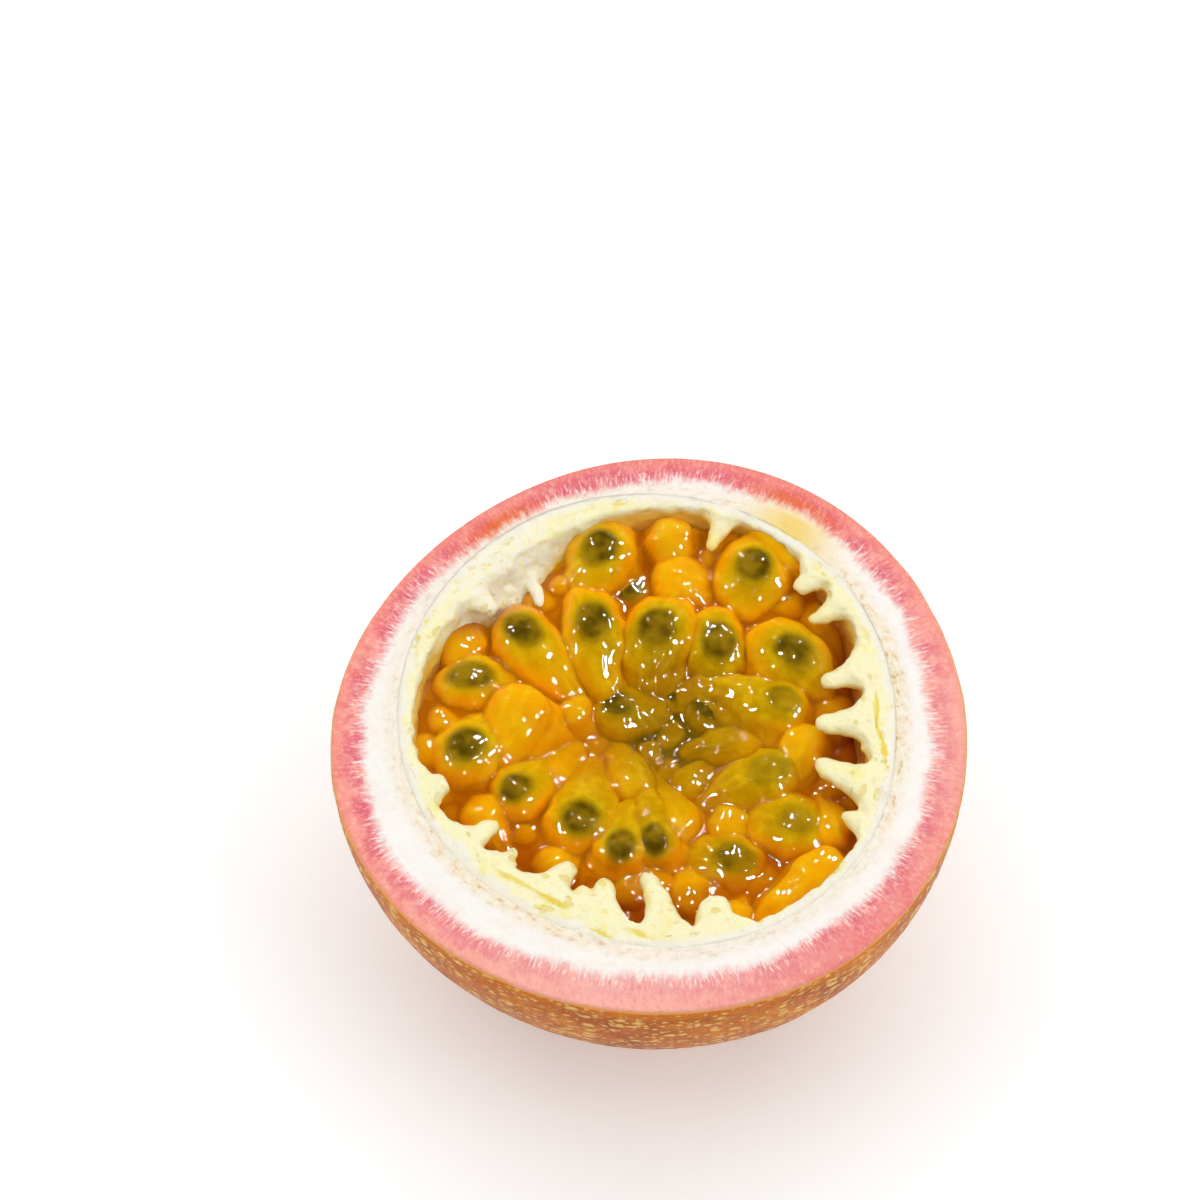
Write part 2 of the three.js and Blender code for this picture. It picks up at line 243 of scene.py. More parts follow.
# %% [markdown]
# ## Grain and spots
# Two effects are needed in more than one finish, so each is a node group: a small tree with named inputs
# and outputs, built once and placed in each material with its own values. `grain` is cloudy noise with
# its size in millimetres. `spots` scatters round spots of uneven size, one in each cell of a Voronoi
# pattern, with a radius drawn from the cell's random colour. It puts out how far a point lies beyond the
# edge of its cell's spot, so the number is negative inside one.

# %% Two node groups
FLOAT, VECTOR, COLOUR = "NodeSocketFloat", "NodeSocketVector", "NodeSocketColor"


def group_called(name, inputs, outputs):
    tree = bpy.data.node_groups.new(name, "ShaderNodeTree")
    for way, words in (("INPUT", inputs), ("OUTPUT", outputs)):
        for word, kind in words.items():
            tree.interface.new_socket(word, in_out=way, socket_type=kind)
    return tree, tree.nodes.new("NodeGroupInput").outputs, tree.nodes.new("NodeGroupOutput").inputs


def use_group(tree, group, output, **values):
    node = tree.nodes.new("ShaderNodeGroup")
    node.node_tree = group
    for word, value in values.items():
        wire(tree, node.inputs[word], value)
    return node.outputs[output]


grain_group, given, result = group_called(
    "grain", {"vector": VECTOR, "size_mm": FLOAT, "detail": FLOAT, "roughness": FLOAT},
    {"amount": FLOAT, "colour": COLOUR},
)
clouds = grain_group.nodes.new("ShaderNodeTexNoise")
wire(grain_group, clouds.inputs["Scale"], maths(grain_group, "DIVIDE", 1 / MM, given["size_mm"]))
for socket, word in (("Vector", "vector"), ("Detail", "detail"), ("Roughness", "roughness")):
    wire(grain_group, clouds.inputs[socket], given[word])
wire(grain_group, result["amount"], clouds.outputs["Fac"])
wire(grain_group, result["colour"], clouds.outputs["Color"])

REACH = ("low", "high", "smallest", "largest")
spots_group, given, result = group_called(
    "spots", {"vector": VECTOR, "size_mm": FLOAT, **{word: FLOAT for word in REACH}}, {"beyond_edge": FLOAT}
)
cells = spots_group.nodes.new("ShaderNodeTexVoronoi")
wire(spots_group, cells.inputs["Vector"], given["vector"])
wire(spots_group, cells.inputs["Scale"], maths(spots_group, "DIVIDE", 1 / MM, given["size_mm"]))
lot = spots_group.nodes.new("ShaderNodeSeparateColor")
wire(spots_group, lot.inputs[0], cells.outputs["Color"])
reach = between(spots_group, lot.outputs[0], *(given[word] for word in REACH))
wire(spots_group, result["beyond_edge"], maths(spots_group, "SUBTRACT", cells.outputs["Distance"], reach))


def grain(tree, vector, size_mm, detail=3.0, roughness=0.55, output="amount"):
    return use_group(
        tree, grain_group, output, vector=vector, size_mm=size_mm, detail=detail, roughness=roughness
    )


def spots(tree, vector, size_mm, *reach):
    return use_group(
        tree, spots_group, "beyond_edge", vector=vector, size_mm=size_mm, **dict(zip(REACH, reach))
    )


# %% [markdown]
# ## Rind finish
# One material has to do four layers, because a knife shows them side by side: the waxy speckled skin,
# the pink layer, the white pith, and the beige spongy zone by the lining. The mesh carries painted
# numbers, such as the distance from the skin in millimetres, and the colours follow them. The painted
# vector `fibre` runs round the rim and across it, so noise read through it can be stretched either way,
# as the fibres of the pith are. The skin's specks are `spots` of two sizes, pushed out of round by grain.

# %% Skin, pink layer and pith
rind_finish, tree, shader = finish_called("rind_finish")
place = here(tree)
depth = painted(tree, "from_skin")
radial = painted(tree, "fibre", "Vector")


def centred(tree, value, amount):
    return maths(tree, "MULTIPLY", maths(tree, "SUBTRACT", value, 0.5), amount)


def scaled(tree, vector, x, y, z):
    node = tree.nodes.new("ShaderNodeVectorMath")
    node.operation = "MULTIPLY"
    wire(tree, node.inputs[0], vector)
    node.inputs[1].default_value = (x, y, z)
    return node.outputs[0]


flecks = grain(tree, radial, 0.42, 3.0, 0.65)
teeth = grain(tree, radial, 1.0, 5.0, 0.8)
fibres = grain(tree, scaled(tree, radial, 1, 1, 0.4), 0.34, 2.0, 0.6)
clouds = grain(tree, place, 2.6, 4.0, 0.65)
soft = grain(tree, place, 7.0, 2.0)
past_pink = maths(tree, "SUBTRACT", depth, painted(tree, "pink_depth"))
ragged = maths(tree, "ADD", past_pink, centred(tree, teeth, 3.0))
ragged = maths(tree, "ADD", ragged, centred(tree, soft, 2.4))

pink = mixed(tree, between(tree, clouds, 0.38, 0.66), (0.97, 0.38, 0.31), (0.90, 0.23, 0.22))
uneven = between(tree, clouds, 0.36, 0.58, 0.15, 0.8)
deepening = maths(tree, "MULTIPLY", between(tree, ragged, -3.4, -1.2), uneven)
pink = mixed(tree, deepening, pink, (0.76, 0.115, 0.175))
pink = mixed(tree, between(tree, depth, 0.3, 1.6, 0.75, 0.0), pink, (0.92, 0.30, 0.21))
pink = mixed(tree, painted(tree, "magenta"), pink, (0.74, 0.10, 0.17))
pink = mixed(tree, painted(tree, "pale"), pink, (0.97, 0.55, 0.47))
pink = mixed(tree, between(tree, flecks, 0.46, 0.78, 0, 0.6), pink, (0.98, 0.58, 0.50))
pink = mixed(tree, between(tree, flecks, 0.46, 0.24, 0, 0.45), pink, (0.78, 0.12, 0.13))
near_white = maths(tree, "MULTIPLY", between(tree, ragged, -2.2, -0.4), between(tree, fibres, 0.48, 0.66))
pink = mixed(tree, near_white, pink, (0.98, 0.74, 0.69))
pink = mixed(tree, painted(tree, "flush"), pink, (0.82, 0.15, 0.022))
white = mixed(tree, between(tree, clouds, 0.4, 0.75), (0.96, 0.915, 0.87), (0.95, 0.86, 0.79))
white = mixed(tree, between(tree, flecks, 0.44, 0.26, 0, 0.5), white, (0.90, 0.76, 0.62))
long_grain = grain(tree, scaled(tree, radial, 0.35, 0.35, 1.3), 0.55, 4.0, 0.7)
spongy = ramp(
    tree, long_grain, (0.34, (0.70, 0.47, 0.22)), (0.45, (0.90, 0.76, 0.54)), (0.62, (0.95, 0.87, 0.73))
)
near_lining = maths(tree, "ADD", painted(tree, "from_lining"), centred(tree, clouds, 2.2))
sponge = maths(tree, "MULTIPLY", between(tree, near_lining, 2.6, 0.9), painted(tree, "sponge"))
white = mixed(tree, sponge, white, spongy)
wall = mixed(tree, between(tree, ragged, -0.9, 0.9), pink, white)
wall = mixed(tree, painted(tree, "yellow_stain"), wall, (0.90, 0.62, 0.06))
skin_edge = maths(tree, "ADD", depth, centred(tree, clouds, 0.5))
wall = mixed(tree, between(tree, skin_edge, 0.14, 0.30), (0.86, 0.40, 0.12), wall)

mottle = grain(tree, place, 8.0, 5.0, 0.65)
skin = ramp(
    tree, mottle, (0.34, (0.36, 0.060, 0.002)), (0.5, (0.58, 0.130, 0.003)), (0.66, (0.74, 0.23, 0.006))
)
fine = grain(tree, place, 0.8, 3.0, 0.6)
skin = mixed(tree, between(tree, fine, 0.42, 0.7, 0, 0.5), skin, (0.30, 0.060, 0.004))
skin = mixed(tree, painted(tree, "shoulder"), skin, (0.80, 0.22, 0.004))
warp = tree.nodes.new("ShaderNodeVectorMath")
warp.operation = "MULTIPLY_ADD"
wire(tree, warp.inputs[0], grain(tree, place, 0.7, 2.0, 0.5, "colour"))
warp.inputs[1].default_value = (0.0008, 0.0008, 0.0008)
wire(tree, warp.inputs[2], scaled(tree, place, 1, 1, 1.7))
speck_height = None
for size, smallest, largest in ((1.9, 0.12, 0.42), (1.0, 0.08, 0.44)):
    edge = spots(tree, warp.outputs[0], size, 0.1, 1.0, smallest, largest)
    speck = between(tree, edge, -0.06, 0.06, 1.0, 0.0)
    skin = mixed(tree, speck, skin, (0.78, 0.43, 0.09))
    skin = mixed(tree, between(tree, edge, -0.22, -0.06, 0.75, 0.0), skin, (0.88, 0.62, 0.21))
    speck_height = speck if speck_height is None else maths(tree, "MAXIMUM", speck_height, speck)

outside = between(tree, depth, 0.02, 0.12, 1.0, 0.0)
wire(tree, shader.inputs["Base Color"], mixed(tree, outside, wall, skin))
wire(tree, shader.inputs["Roughness"], between(tree, outside, 0, 1, 0.62, 0.40))
height = mixed(tree, outside, flecks, mixed(tree, 0.35, grain(tree, place, 0.7, 4.0, 0.7), speck_height))
wire(tree, shader.inputs["Normal"], bumped(tree, height, 0.16, 0.6))
shader.inputs["Subsurface Weight"].default_value = 0.18
shader.inputs["Subsurface Radius"].default_value = (1.0, 0.45, 0.3)
shader.inputs["Subsurface Scale"].default_value = 0.0010
shader.inputs["Specular IOR Level"].default_value = 0.08
print("rind finish:", len(tree.nodes), "nodes")

# %% [markdown]
# ## Lining finish
# The lining is moist and cream, with small round pits. Juice has stained it yellow in patches and fills
# thin slits that run along it. Towards the pith it fades to the pith's own white. The shelf at the upper
# left is painted paler and less stained, as painted light where it faces up into the light. Where the
# lining goes down behind the sacs it turns golden and then amber. Slits, fade, gold and amber follow
# numbers that are painted on the mesh, and a painted vector along the wall lets the pits lie the way it
# runs.

# %% Cream lining
lining_finish, tree, shader = finish_called("lining_finish")
place = here(tree)
patches = grain(tree, place, 3.4, 4.0, 0.65)
cream = mixed(tree, between(tree, patches, 0.52, 0.72, 0, 0.8), (0.985, 0.905, 0.56), (0.95, 0.82, 0.24))
crumbs = grain(tree, place, 0.9, 4.0, 0.7)
pit_edge = spots(tree, painted(tree, "along", "Vector"), 1.25, 0.2, 0.9, -0.05, 0.36)
pit = between(tree, pit_edge, 0.02, -0.10)
cream = mixed(tree, between(tree, crumbs, 0.46, 0.3, 0, 0.6), cream, (0.86, 0.72, 0.42))
cream = mixed(tree, maths(tree, "MULTIPLY", pit, 0.75), cream, (0.86, 0.68, 0.18))
cream = mixed(tree, painted(tree, "slit"), cream, (0.84, 0.66, 0.04))
# The fade to the pith's white also lays a paler patch on the shelf at the upper left, as painted light.
faded = maths(tree, "ADD", painted(tree, "to_pith"), centred(tree, crumbs, 2.4))
cream = mixed(tree, between(tree, faded, 0.25, 0.75), cream, (0.965, 0.895, 0.73))
gold = mixed(tree, painted(tree, "gold"), cream, (0.90, 0.62, 0.04))
amber = mixed(tree, grain(tree, place, 2.0, 2.0), (0.42, 0.11, 0.004), (0.78, 0.30, 0.008))
wire(tree, shader.inputs["Base Color"], mixed(tree, painted(tree, "stain"), gold, amber))
wire(tree, shader.inputs["Roughness"], between(tree, patches, 0.3, 0.7, 0.55, 0.34))
shader.inputs["Specular IOR Level"].default_value = 0.22
dents = maths(tree, "SUBTRACT", grain(tree, place, 1.1, 5.0, 0.7), maths(tree, "MULTIPLY", pit, 0.5))
wire(tree, shader.inputs["Normal"], bumped(tree, dents, 0.30, 0.9))
shader.inputs["Subsurface Weight"].default_value = 0.4
shader.inputs["Subsurface Radius"].default_value = (1.0, 0.8, 0.35)
shader.inputs["Subsurface Scale"].default_value = 0.0015
print("lining finish:", len(tree.nodes), "nodes")

# %% [markdown]
# ## Juice finish
# Sacs are bags of clear yellow juice in orange skins, with a dark seed inside. A truly clear body would
# be slow and noisy, and at this size the eye reads it from colour alone: dark over the seed, olive
# round it, orange at the skin with a painted glow at the thin edges, paler streaks along the tail,
# brown juice in the pools between the sacs with painted shade in the creases and hollows, amber juice
# with painted shade in deep pockets and low places by the wall, and murky in the middle with painted
# shade in its folds. Those are painted numbers on the mesh. Light that scatters under the surface does
# the rest. The wet skin is the shader's own reflection, kept very smooth, and a low broad bump breaks the
# glints up as thin juice over soft tissue does.

# %% Wet juice sacs
juice_finish, tree, shader = finish_called("juice_finish")
place = here(tree)
haze = grain(tree, place, 2.0, 3.0, 0.6)
flesh = mixed(tree, painted(tree, "olive"), (0.92, 0.49, 0.002), (0.58, 0.335, 0.001))
# Orange of the sac skins, plus a painted glow at the thin edges where light shines through.
flesh = mixed(tree, painted(tree, "orange_skin_and_edge_glow"), flesh, (0.98, 0.38, 0.001))
flesh = mixed(tree, between(tree, haze, 0.42, 0.72, 0, 0.45), flesh, (0.93, 0.60, 0.008))
flesh = mixed(tree, painted(tree, "streak"), flesh, (0.96, 0.64, 0.012))
# Brown juice in the pools between the sacs, plus painted shade where the pulp creases and hollows.
flesh = mixed(tree, painted(tree, "pool_and_shade"), flesh, (0.54, 0.172, 0.001))
# Amber of deep juice, darkened as painted shade in deep pockets and low places by the wall.
flesh = mixed(tree, painted(tree, "amber"), flesh, (0.46, 0.095, 0.001))
# Dark olive murk of the collapsed middle, darker in its folds as painted shade.
flesh = mixed(tree, painted(tree, "murk_and_shade"), flesh, (0.17, 0.105, 0.003))
cloudy = grain(tree, place, 2.6, 2.0, 0.5)
dark = mixed(tree, between(tree, cloudy, 0.3, 0.72), (0.10, 0.062, 0.002), (0.36, 0.215, 0.006))
wire(tree, shader.inputs["Base Color"], mixed(tree, painted(tree, "seed_near"), flesh, dark))
shader.inputs["Roughness"].default_value = 0.045
shader.inputs["IOR"].default_value = 1.42
broad = maths(tree, "MULTIPLY", grain(tree, place, 4.0, 1.0), 1.6)
ripples = maths(tree, "ADD", grain(tree, place, 1.7, 1.0, 0.4), broad)
wire(tree, shader.inputs["Normal"], bumped(tree, ripples, 0.20, 0.6))
shader.inputs["Subsurface Weight"].default_value = 0.5
shader.inputs["Subsurface Radius"].default_value = (1.0, 0.5, 0.06)
shader.inputs["Subsurface Scale"].default_value = 0.0015
print("juice finish:", len(tree.nodes), "nodes")

# %% [markdown]
# ## Turning round pieces
# Rind and lining are bowls. Each starts as a plain unit bowl spun from a profile: the inner wall has
# radius 1, the outer wall radius 2, and the cut between them is the flat ring from 1 to 2. Every point
# then slides to its true place by the outlines above. A lathe alone can't make a rim that isn't round,
# and this way the rows stay tidy. The pulp is made the same way from a filled bowl of radius 1.

# %% Spin a unit bowl
def as_mesh(bm, name):
    mesh = bpy.data.meshes.new(name)
    bm.to_mesh(mesh)
    bm.free()
    return mesh


def spun(profile, steps):
    bm = bmesh.new()
    points = [bm.verts.new((r, 0, z)) for r, z in profile]
    edges = [bm.edges.new(pair) for pair in zip(points, points[1:])]
    whole = 2 * math.pi
    bmesh.ops.spin(
        bm, geom=points + edges, axis=(0, 0, 1), cent=(0, 0, 0), angle=whole, steps=steps, use_merge=True
    )
    bmesh.ops.remove_doubles(bm, verts=bm.verts, dist=1e-5)
    bmesh.ops.recalc_face_normals(bm, faces=bm.faces)
    return as_mesh(bm, "turned")


def arc(radius, start, stop, rows):
    steps = np.linspace(0, 1, rows) * (stop - start) + start
    return [(radius * math.cos(math.radians(a)), -radius * math.sin(math.radians(a))) for a in steps]


def moved(mesh, points):
    mesh.vertices.foreach_set("co", np.asarray(points, np.float32).ravel())
    mesh.update()
    return mesh


def rolling(points, size, seed):
    """Smooth noise from -1 to 1 at each point, with bumps about size millimetres wide."""
    return np.array([noise.noise(Vector(p) / size + Vector((seed, 0, 0))) for p in points])


# %% [markdown]
# ## Rind
# The outer wall follows a slightly full-shouldered dome and is cut off flat where the fruit rests, with
# the stem scar as a small pit. The cut ring gets many close rows, because the knife left a faint relief
# of fibres on it and small pores where the pith turns spongy. Last, the numbers that the finish reads
# are painted: each colour change follows the photograph round the rim, as humps at its own angle.

# %% Make the rind
SCAR = ((0, 1.2, 2.0, 2.6, 3.1), (1.3, 1.25, 0.9, 0.25, 0))
SCAR_RADIUS = SCAR[0][-1]
SKIN_ROUNDING = 0.15
profile = arc(2, 90, 82, 12) + arc(2, 81, 0.9, 96) + [(2 - s, 0) for s in np.linspace(0.02, 0.98, 34)]
profile += arc(1, 2, 90, 16)
rind_mesh = spun(profile, 320)
unit = points_of(rind_mesh)
angle = np.arctan2(unit[:, 1], unit[:, 0])
r, reach = np.hypot(unit[:, 0], unit[:, 1]), np.linalg.norm(unit, axis=1)
outer, inner = (unit[:, 2] < -1e-4) & (reach > 1.5), (unit[:, 2] < -1e-4) & (reach < 1.5)
top = ~outer & ~inner
rim, pith = RIM + rim_swell(angle), pith_radius(angle)

power = 2 / SHOULDER
lean = np.clip(r / 2, 0, 1)
drop = np.clip(-unit[:, 2] / 2, 0, 1)
radius = np.where(outer, RIM * lean ** power + rim_swell(angle) * lean ** 4, 0)
height = np.where(outer, CUT - (CUT + POLE_SINK) * drop ** power, CUT)
scar = np.interp(radius, *SCAR)
height = np.where(outer, np.maximum(height, 0) + np.where(radius < SCAR_RADIUS, scar, 0), height)
across = np.clip(r - 1, 0, 1)
radius = np.where(top, pith + (rim - SKIN_ROUNDING - pith) * across, radius)
radius = np.where(inner, pith * np.clip(r, 0, 1), radius)
height = np.where(inner, CUT - PITH_DEEP * np.clip(-unit[:, 2], 0, 1), height)
from_skin = np.where(outer, 0, np.where(top, rim - radius, 10))

flat = np.stack((radius * np.cos(angle), radius * np.sin(angle), height), 1)
relief = 0.10 * rolling(flat, 1.3, 3) + 0.12 * rolling(flat, 4.0, 7)
pores = np.clip(rolling(flat, 0.9, 11) - 0.25, 0, 1) * np.clip((from_skin - 6.5) / 2, 0, 1)
edge_fade = np.clip(from_skin / 0.8, 0, 1)
flat[:, 2] += np.where(top, (relief - 0.12) * edge_fade - 0.7 * pores, 0)
ripple = np.where(outer & (height > 0.4), 0.10 * rolling(flat, 3.5, 19) + 0.03 * rolling(flat, 1.3, 23), 0)
flat[:, :2] *= (1 + (ripple - 0.05) / np.maximum(radius, 5))[:, None]
moved(rind_mesh, flat + np.array(OFFSET))

paint(rind_mesh, "from_skin", from_skin)
paint(rind_mesh, "from_lining", radius - pith)
paint(rind_mesh, "pink_depth", 3.5 + 1.3 * hump(angle, -70, 60) + 0.6 * hump(angle, 10, 40))
paint(rind_mesh, "sponge", np.clip(0.45 + 0.6 * hump(angle, 10, 36) + 0.5 * hump(angle, -130, 40), 0, 1))
paint(rind_mesh, "magenta", 0.4 * hump(angle, -52, 30) + 0.25 * hump(angle, 95, 50))
paint(rind_mesh, "pale", 0.55 * hump(angle, -98, 34) + 0.3 * hump(angle, 0, 24))
flush = np.clip(hump(angle, 124, 9) + 0.9 * hump(angle, 62, 10), 0, 1)
paint(rind_mesh, "flush", 0.9 * flush * np.clip((from_skin - 0.9) / 1.5, 0, 1))
paint(rind_mesh, "yellow_stain", 0.8 * hump(angle, 60, 9) * np.clip((from_skin - 3.2) / 1.5, 0, 1))
paint(rind_mesh, "shoulder", np.where(outer, 0.9 * np.clip(1 - (CUT - height) / 2.4, 0, 1), 0))
paint_vector(rind_mesh, "fibre", RIM * np.cos(angle), RIM * np.sin(angle), 0.62 * from_skin)
placed("rind_wall", rind_mesh, rind_finish, "rind", "rind")

# %% [markdown]
# ## Joining soft shapes
# Stalks grow out of the lining, and sacs melt into each other, with soft hollows where they meet. A
# boolean would leave sharp creases there. Voxel remeshing fills everything with tiny cubes and skins
# them once, so overlapping shapes become one body, and a little smoothing turns the creases into
# fillets. It is applied at once, so that later steps can work on plain points.

# %% Fuse, smooth and keep as a plain mesh
def fused(mesh, voxel, smoothing):
    body = bpy.data.objects.new("fusing", mesh)
    bpy.context.scene.collection.objects.link(body)
    remesh = body.modifiers.new("fuse", "REMESH")
    remesh.mode, remesh.voxel_size, remesh.adaptivity = "VOXEL", voxel, 0
    smooth = body.modifiers.new("soften", "SMOOTH")
    smooth.factor, smooth.iterations = 0.5, smoothing
    graph = bpy.context.evaluated_depsgraph_get()
    result = bpy.data.meshes.new_from_object(body.evaluated_get(graph))
    bpy.data.objects.remove(body)
    return result


def thinned(mesh, keep, soft_part):
    """Merges faces only where nobody looks: soft_part is 1 at points that may be merged."""
    body = bpy.data.objects.new("thinning", mesh)
    bpy.context.scene.collection.objects.link(body)
    group = body.vertex_groups.new(name="hidden")
    group.add([int(i) for i in np.nonzero(soft_part)[0]], 1.0, "REPLACE")
    fewer = body.modifiers.new("fewer", "DECIMATE")
    fewer.ratio, fewer.vertex_group = keep, "hidden"
    graph = bpy.context.evaluated_depsgraph_get()
    result = bpy.data.meshes.new_from_object(body.evaluated_get(graph))
    bpy.data.objects.remove(body)
    return result


def added(bm, mesh, matrix=None):
    start = len(bm.verts)
    bm.from_mesh(mesh)
    if matrix is not None:
        bm.verts.ensure_lookup_table()
        bmesh.ops.transform(bm, matrix=matrix, verts=bm.verts[start:])
    bpy.data.meshes.remove(mesh)


# %% [markdown]
# ## Lining
# The lining is a thin bowl, thick along the ridges. Seed stalks stick out of its wall just under the
# cut, like teeth with hollowed flanks. Each is a finger spun from a profile, flattened, bent a little
# and sunk into the wall. A row gives its angle, how far from the middle its tip is, its width and how
# deep it lies. Between them the wall carries a fringe of small torn teeth. All of it is fused into one
# body, wrinkled by noise, and then painted with the numbers that its finish reads.

# %% Make the lining
STALKS = (
    (49, 26.6, 1.9, 1.3), (39, 24.8, 1.6, 1.4), (20, 21.6, 1.9, 1.3), (5, 19.8, 2.1, 1.3),
    (-14, 20.0, 2.4, 1.4), (-25, 25.0, 1.6, 1.3), (75, 26.8, 1.4, 1.4), (140, 25.4, 1.8, 1.3),
    (124, 23.4, 1.3, 3.4), (-163, 25.4, 2.2, 1.3), (-145, 22.3, 1.7, 1.3), (-134, 22.6, 1.2, 1.2),
    (-119, 20.2, 2.2, 1.3), (-110, 22.0, 1.4, 1.4), (-103, 20.5, 2.0, 1.3), (-86, 18.9, 2.1, 1.3),
    (-73, 23.0, 2.9, 1.4),
)
LINING_DROP, EDGE_DIVE, OUTER_TOP, OUTER_DEEP, UNDER_PITH = 0.1, 0.5, 0.6, 13.7, 0.5
FINGER = ((0.18, 1.15), (0.4, 0.84), (0.68, 0.70), (0.9, 0.58), (1.03, 0.36))
profile = arc(1, 90, 2, 60) + [(1 + s, 0) for s in np.linspace(0.02, 0.98, 20)] + arc(2, 2, 90, 60)
bowl = spun(profile, 260)
unit = points_of(bowl)
angle = np.arctan2(unit[:, 1], unit[:, 0])
r, reach = np.hypot(unit[:, 0], unit[:, 1]), np.linalg.norm(unit, axis=1)
below = unit[:, 2] < -1e-4
outer, inner = below & (reach > 1.5), below & (reach < 1.5)
wall, pith = hollow_radius(angle), pith_radius(angle) + UNDER_PITH
wall_here = wall - np.where(inner, shelf(angle, -FLOOR * unit[:, 2]), 0)
on_cut = wall + (pith - wall) * np.clip(r - 1, 0, 1)
radius = np.where(inner, wall_here * r, np.where(outer, pith * r / 2, on_cut))
on_cut = CUT - LINING_DROP - EDGE_DIVE * np.clip((r - 1.8) / 0.2, 0, 1)
under_pith = CUT - OUTER_TOP + OUTER_DEEP * unit[:, 2]
height = np.where(inner, CUT + FLOOR * unit[:, 2], np.where(outer, under_pith, on_cut))
flat = np.stack((radius * np.cos(angle), radius * np.sin(angle), height), 1)
lumps = 0.55 * rolling(flat, 2.6, 31) + 0.3 * rolling(flat, 1.1, 37)
near_cut = np.clip(1 - (CUT - height) / 8, 0, 1)
flat[:, :2] *= (1 + np.where(inner, lumps * near_cut, 0) / np.maximum(radius, 5))[:, None]
moved(bowl, flat)

bm = bmesh.new()
added(bm, bowl)
chance = np.random.default_rng(8)
fringe = []
for around in np.concatenate((chance.uniform(-160, -72, 30), chance.uniform(-28, 48, 16))):
    tip = float(hollow_radius(math.radians(around))) - chance.uniform(0.5, 1.3)
    fringe.append((around, tip, chance.uniform(0.5, 0.9), chance.uniform(0.5, 1.8)))
for around, tip, width, deep in (*STALKS, *fringe):
    wall = float(hollow_radius(math.radians(around)))
    length = wall - tip
    root = [(0, -1.2), (width * 2.1, -1.2), (width * 1.6, 0.1)]
    finger = spun(root + [(width * wide, length * far) for far, wide in FINGER] + [(0, length * 1.07)], 16)
    points = points_of(finger)
    points[:, 1] += chance.uniform(-0.07, 0.07) * np.clip(points[:, 2], 0, None) ** 1.6
    points[:, 0] *= 0.66
    moved(finger, points)
    lay = Matrix.Rotation(math.radians(around), 4, "Z") @ Matrix.Translation((wall, 0, CUT - deep))
    added(bm, finger, lay @ Matrix.Rotation(-math.pi / 2, 4, "Y"))
lining_mesh = fused(as_mesh(bm, "lining"), 0.32, 4)

points = points_of(lining_mesh)
print("lining, fused:", len(points), "points")
hidden = points[:, 2] < CUT - 10
lining_mesh = thinned(lining_mesh, 0.45, hidden)
points = points_of(lining_mesh)
angle, radius = np.arctan2(points[:, 1], points[:, 0]), np.hypot(points[:, 0], points[:, 1])
wrinkle = 0.16 * rolling(points, 1.0, 41) + 0.10 * rolling(points, 2.4, 43)
seen = np.clip((points[:, 2] - CUT + 10) / 4, 0, 1)
points[:, 2] += wrinkle * seen
knobs = np.stack((rolling(points, 1.2, 44), rolling(points, 1.2, 47)), 1)
points[:, :2] += 0.24 * knobs * (seen * (radius < pith_radius(angle) - 0.8))[:, None]
points[:, 2] = np.minimum(points[:, 2], CUT - 0.02)
moved(lining_mesh, points + np.array(OFFSET))
under = CUT - points[:, 2]
# pocket marks the shelf at the upper left: stain and gold start deeper there so it stays light, as painted
# light on the shelf that faces up.
pocket = hump(angle, 132, 20)
inside = np.clip((pith_radius(angle) - 0.4 - radius) / 0.4, 0, 1)
stain = np.clip((under - 2.0 - 6 * pocket) / 2.4, 0, 1) * (1 - 0.7 * hump(angle, 84, 34))
paint(lining_mesh, "stain", stain * inside)
paint(lining_mesh, "gold", 0.9 * np.clip((under - 0.5 - 4 * pocket) / 1.1, 0, 1) * inside)
paint_vector(lining_mesh, "along", 13 * angle, radius, 0.7 * points[:, 2])
ribbons = np.stack((9 * angle, radius - hollow_radius(angle), np.zeros(len(angle))), 1)
slit = np.clip(rolling(ribbons * (0.5, 1, 1), 0.95, 53) * 5.0 - 1.2, 0, 1)
slit *= np.clip(1.3 * hump(angle, 5, 34) + hump(angle, -110, 50) + 0.8 * hump(angle, 135, 40), 0, 1)
paint(lining_mesh, "slit", slit * np.clip(radius - hollow_radius(angle) - 0.5, 0, 1))
ragged = 0.9 * rolling(points, 2.6, 59)
# A paler patch on the shelf is painted light: it stands in for the light falling on the shelf, which faces
# up.
pale = 0.6 * hump(angle, 130, 24) * np.clip(1.4 - under / 6, 0, 1)
to_pith = np.clip((radius - pith_radius(angle) + 1.6 + ragged) / 1.5, 0, 1)
paint(lining_mesh, "to_pith", np.maximum(to_pith, pale))
placed("lining_skin", lining_mesh, lining_finish, "lining", "lining")

# %% [markdown]
# ## Where the sacs lie
# Every sac is an egg with its round end towards the wall and a blunt tail. A row gives the place of the
# round end, how deep its top is under the cut, the heading of the tail, length, width, how far the tail
# drops, and the size of the seed, or noughts where no seed shows. The places follow the photograph, and
# some heads reach further past the round end than half the width. Juice stands a little under the tops
# of the sacs round it, and lower in three pockets by the wall.

